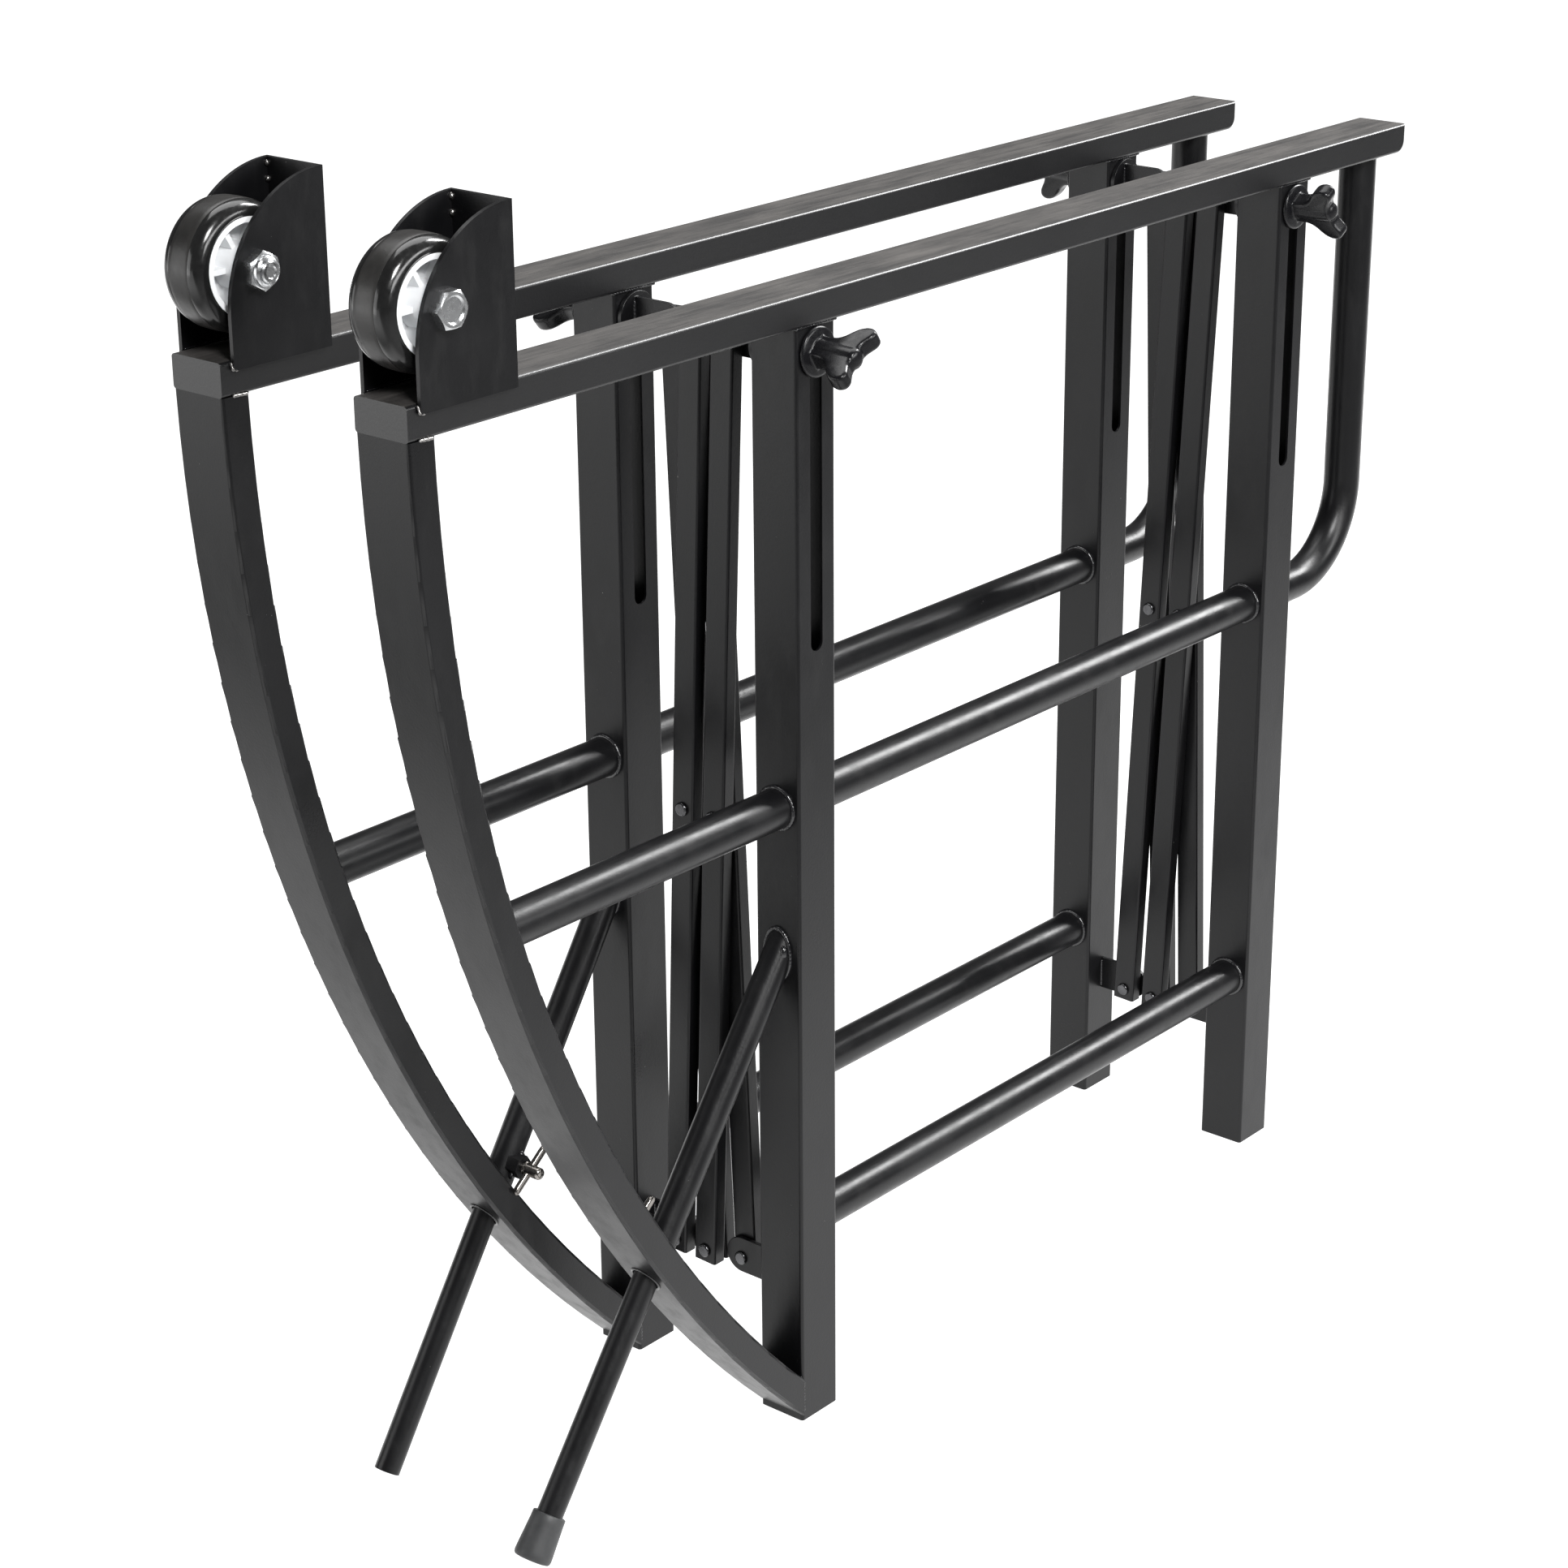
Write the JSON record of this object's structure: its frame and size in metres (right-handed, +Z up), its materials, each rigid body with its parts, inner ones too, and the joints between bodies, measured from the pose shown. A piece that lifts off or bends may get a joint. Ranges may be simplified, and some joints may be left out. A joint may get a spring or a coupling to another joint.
{
  "type": "folding wheeled carrying frame",
  "caption": "Folding two-sided tube frame with scissor links, wheels at one end, hand grips at the other, and sliding legs.",
  "frame": {"origin": "on the floor, at the middle of the folded object's bounding box", "axes": "+X towards the handle end, +Y towards the far frame, +Z up"},
  "size_m": [0.9585, 0.246, 0.812],
  "materials": {
    "powder_coat": "satin",
    "rail_coat": "matte",
    "zinc": "satin",
    "pin_steel": "satin",
    "dark_chrome": "polished",
    "knob_plastic": "gloss",
    "tyre_rubber": "satin",
    "hub_plastic": "satin",
    "foot_rubber": "matte"
  },
  "bodies": {
    "near_frame": {"near_rail": "rail_coat", "near_curved_tube": "powder_coat", "near_front_post": "powder_coat", "near_rear_post": "powder_coat", "near_mid_tube": "powder_coat", "near_handle_tube": "powder_coat", "near_lower_tube": "powder_coat", "near_leg_sleeve": "powder_coat", "near_leg_nut": "powder_coat", "near_wheel_bracket": "powder_coat", "near_axle_bolt": "zinc", "near_axle_nut": "zinc", "near_axle_bush": "zinc", "near_link_brackets": "powder_coat", "near_bracket_pins": "pin_steel"},
    "near_wheel": {"near_tyre": "tyre_rubber", "near_hub": "hub_plastic"},
    "near_leg": {"near_leg_tube": "powder_coat", "near_leg_foot": "foot_rubber"},
    "near_thumb_screw": {"near_thumb_screw": "dark_chrome"},
    "far_frame": {"far_rail": "rail_coat", "far_curved_tube": "powder_coat", "far_front_post": "powder_coat", "far_rear_post": "powder_coat", "far_mid_tube": "powder_coat", "far_handle_tube": "powder_coat", "far_lower_tube": "powder_coat", "far_leg_sleeve": "powder_coat", "far_leg_nut": "powder_coat", "far_wheel_bracket": "powder_coat", "far_axle_bolt": "zinc", "far_axle_nut": "zinc", "far_axle_bush": "zinc", "far_link_brackets": "powder_coat", "far_bracket_pins": "pin_steel"},
    "far_wheel": {"far_tyre": "tyre_rubber", "far_hub": "hub_plastic"},
    "far_leg": {"far_leg_tube": "powder_coat"},
    "far_thumb_screw": {"far_thumb_screw": "dark_chrome"},
    "front_near_fixed_bar": {"front_near_fixed_bar": "powder_coat", "front_near_bar_pins": "pin_steel"},
    "front_near_slide_bar": {"front_near_slide_bar": "powder_coat"},
    "front_far_fixed_bar": {"front_far_fixed_bar": "powder_coat"},
    "front_far_slide_bar": {"front_far_slide_bar": "powder_coat", "front_far_bar_pins": "pin_steel"},
    "front_near_slider": {"front_near_slider": "powder_coat"},
    "front_near_knob": {"front_near_knob": "knob_plastic"},
    "front_far_slider": {"front_far_slider": "powder_coat"},
    "front_far_knob": {"front_far_knob": "knob_plastic"},
    "rear_near_fixed_bar": {"rear_near_fixed_bar": "powder_coat", "rear_near_bar_pins": "pin_steel"},
    "rear_near_slide_bar": {"rear_near_slide_bar": "powder_coat"},
    "rear_far_fixed_bar": {"rear_far_fixed_bar": "powder_coat"},
    "rear_far_slide_bar": {"rear_far_slide_bar": "powder_coat", "rear_far_bar_pins": "pin_steel"},
    "rear_near_slider": {"rear_near_slider": "powder_coat"},
    "rear_near_knob": {"rear_near_knob": "knob_plastic"},
    "rear_far_slider": {"rear_far_slider": "powder_coat"},
    "rear_far_knob": {"rear_far_knob": "knob_plastic"}
  },
  "joints": [
    {"name": "front_fold", "type": "hinge", "parent": "near_frame", "child": "front_near_fixed_bar", "pos_m": [-0.1518, -0.0245, 0.089], "axis": [-1, 0, 0], "range_deg": [0, 42]},
    {"name": "front_near_cross", "type": "hinge", "parent": "front_near_fixed_bar", "child": "front_near_slide_bar", "pos_m": [-0.1518, -0.01225, 0.387], "axis": [-1, 0, 0], "range_deg": [-84.5, 0.5]},
    {"name": "front_top_pivot", "type": "hinge", "parent": "front_near_fixed_bar", "child": "front_far_fixed_bar", "pos_m": [-0.1518, 0, 0.685], "axis": [-1, 0, 0], "range_deg": [-84.5, 0.5]},
    {"name": "front_far_cross", "type": "hinge", "parent": "front_far_fixed_bar", "child": "front_far_slide_bar", "pos_m": [-0.1518, 0.01225, 0.387], "axis": [-1, 0, 0], "range_deg": [-0.5, 84.5]},
    {"name": "front_near_slider_pivot", "type": "hinge", "parent": "front_near_slide_bar", "child": "front_near_slider", "pos_m": [-0.1518, -0.0245, 0.685], "axis": [-1, 0, 0], "range_deg": [-0.5, 42.5]},
    {"name": "front_far_slider_pivot", "type": "hinge", "parent": "front_far_slide_bar", "child": "front_far_slider", "pos_m": [-0.1518, 0.0245, 0.685], "axis": [-1, 0, 0], "range_deg": [-42.5, 0.5]},
    {"name": "far_frame_pivot", "type": "hinge", "parent": "front_far_fixed_bar", "child": "far_frame", "pos_m": [-0.1518, 0.0245, 0.089], "axis": [-1, 0, 0], "range_deg": [-0.5, 42.5]},
    {"name": "front_near_knob_turn", "type": "hinge", "parent": "front_near_slider", "child": "front_near_knob", "pos_m": [-0.1518, -0.09, 0.685], "axis": [0, 1, 0], "continuous": true},
    {"name": "front_far_knob_turn", "type": "hinge", "parent": "front_far_slider", "child": "front_far_knob", "pos_m": [-0.1518, 0.09, 0.685], "axis": [0, 1, 0], "continuous": true},
    {"name": "rear_fold", "type": "hinge", "parent": "near_frame", "child": "rear_near_fixed_bar", "pos_m": [0.3442, -0.0245, 0.089], "axis": [-1, 0, 0], "range_deg": [0, 42]},
    {"name": "rear_near_cross", "type": "hinge", "parent": "rear_near_fixed_bar", "child": "rear_near_slide_bar", "pos_m": [0.3442, -0.01225, 0.387], "axis": [-1, 0, 0], "range_deg": [-84.5, 0.5]},
    {"name": "rear_top_pivot", "type": "hinge", "parent": "rear_near_fixed_bar", "child": "rear_far_fixed_bar", "pos_m": [0.3442, 0, 0.685], "axis": [-1, 0, 0], "range_deg": [-84.5, 0.5]},
    {"name": "rear_far_cross", "type": "hinge", "parent": "rear_far_fixed_bar", "child": "rear_far_slide_bar", "pos_m": [0.3442, 0.01225, 0.387], "axis": [-1, 0, 0], "range_deg": [-0.5, 84.5]},
    {"name": "rear_near_slider_pivot", "type": "hinge", "parent": "rear_near_slide_bar", "child": "rear_near_slider", "pos_m": [0.3442, -0.0245, 0.685], "axis": [-1, 0, 0], "range_deg": [-0.5, 42.5]},
    {"name": "rear_far_slider_pivot", "type": "hinge", "parent": "rear_far_slide_bar", "child": "rear_far_slider", "pos_m": [0.3442, 0.0245, 0.685], "axis": [-1, 0, 0], "range_deg": [-42.5, 0.5]},
    {"name": "rear_near_knob_turn", "type": "hinge", "parent": "rear_near_slider", "child": "rear_near_knob", "pos_m": [0.3442, -0.09, 0.685], "axis": [0, 1, 0], "continuous": true},
    {"name": "rear_far_knob_turn", "type": "hinge", "parent": "rear_far_slider", "child": "rear_far_knob", "pos_m": [0.3442, 0.09, 0.685], "axis": [0, 1, 0], "continuous": true},
    {"name": "near_wheel_spin", "type": "hinge", "parent": "near_frame", "child": "near_wheel", "pos_m": [-0.4438, -0.069, 0.7653], "axis": [0, 1, 0], "continuous": true},
    {"name": "near_leg_slide", "type": "slide", "parent": "near_frame", "child": "near_leg", "axis": [-0.592, 0, -0.8059], "range_m": [-0.055, 0.05]},
    {"name": "near_thumb_screw_turn", "type": "hinge", "parent": "near_frame", "child": "near_thumb_screw", "pos_m": [-0.27477, -0.045, 0.17224], "axis": [0, 1, 0], "continuous": true},
    {"name": "far_wheel_spin", "type": "hinge", "parent": "far_frame", "child": "far_wheel", "pos_m": [-0.4438, 0.069, 0.7653], "axis": [0, 1, 0], "continuous": true},
    {"name": "far_leg_slide", "type": "slide", "parent": "far_frame", "child": "far_leg", "axis": [-0.5534, 0, -0.8329], "range_m": [-0.055, 0.05]},
    {"name": "far_thumb_screw_turn", "type": "hinge", "parent": "far_frame", "child": "far_thumb_screw", "pos_m": [-0.26841, 0.045, 0.17257], "axis": [0, 1, 0], "continuous": true}
  ],
  "couplings": [
    {"joint": "front_near_cross", "follows": "front_fold", "ratio": -2},
    {"joint": "front_top_pivot", "follows": "front_fold", "ratio": -2},
    {"joint": "front_far_cross", "follows": "front_fold", "ratio": 2},
    {"joint": "front_near_slider_pivot", "follows": "front_fold", "ratio": 1},
    {"joint": "front_far_slider_pivot", "follows": "front_fold", "ratio": -1},
    {"joint": "far_frame_pivot", "follows": "front_fold", "ratio": 1},
    {"joint": "rear_fold", "follows": "front_fold", "ratio": 1},
    {"joint": "rear_near_cross", "follows": "front_fold", "ratio": -2},
    {"joint": "rear_top_pivot", "follows": "front_fold", "ratio": -2},
    {"joint": "rear_far_cross", "follows": "front_fold", "ratio": 2},
    {"joint": "rear_near_slider_pivot", "follows": "front_fold", "ratio": 1},
    {"joint": "rear_far_slider_pivot", "follows": "front_fold", "ratio": -1}
  ]
}
